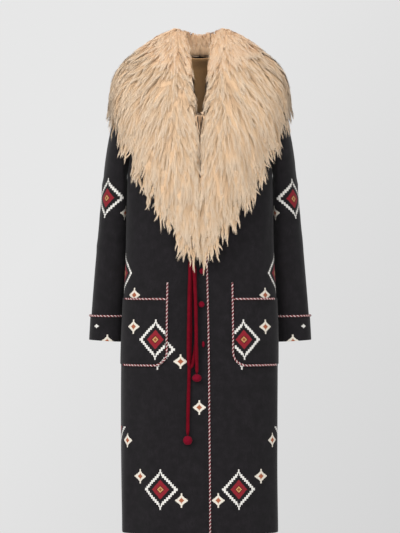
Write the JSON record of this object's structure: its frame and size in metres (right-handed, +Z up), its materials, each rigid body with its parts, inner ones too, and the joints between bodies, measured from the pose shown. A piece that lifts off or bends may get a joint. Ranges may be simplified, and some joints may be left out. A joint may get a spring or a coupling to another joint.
{
  "type": "long fur-collared coat",
  "caption": "Long charcoal felt coat, worn and hollow, with a deep cream shaggy fur shawl collar, red ball buttons, red ties with felt balls and twisted red and white piping.",
  "frame": {"origin": "middle of the neck opening, level with the wearer's shoulders that carry the coat", "axes": "+Z up from the hem to the neck; -Y is the way the wearer faces; +X is the wearer's left"},
  "size_m": [0.5486, 0.3434, 1.2297],
  "materials": {
    "coat_felt": "matt wool felt",
    "lining": "soft satin",
    "fur": "long wavy lamb fur",
    "twisted_piping": "matt twisted yarn",
    "red_felt": "matt felt",
    "red_tie": "soft velvet cord"
  },
  "bodies": {
    "root": {"back": "coat_felt", "front_right": "coat_felt", "front_left": "coat_felt", "sleeve_right": "coat_felt", "sleeve_left": "coat_felt", "cuff_right": "coat_felt", "cuff_left": "coat_felt", "pocket_right": "coat_felt", "pocket_left": "coat_felt", "back_lining": "lining", "collar_right": "fur", "collar_left": "fur", "piping_front": "twisted_piping", "piping_pocket_side_right": "twisted_piping", "piping_pocket_side_left": "twisted_piping", "piping_pocket_top_right": "twisted_piping", "piping_pocket_top_left": "twisted_piping", "piping_cuff_right": "twisted_piping", "piping_cuff_left": "twisted_piping", "button_top": "red_felt", "button_middle": "red_felt", "button_low": "red_felt", "ball_long": "red_felt", "ball_short": "red_felt", "tie_long": "red_tie", "tie_short": "red_tie", "tie_loop": "red_tie"}
  },
  "joints": []
}
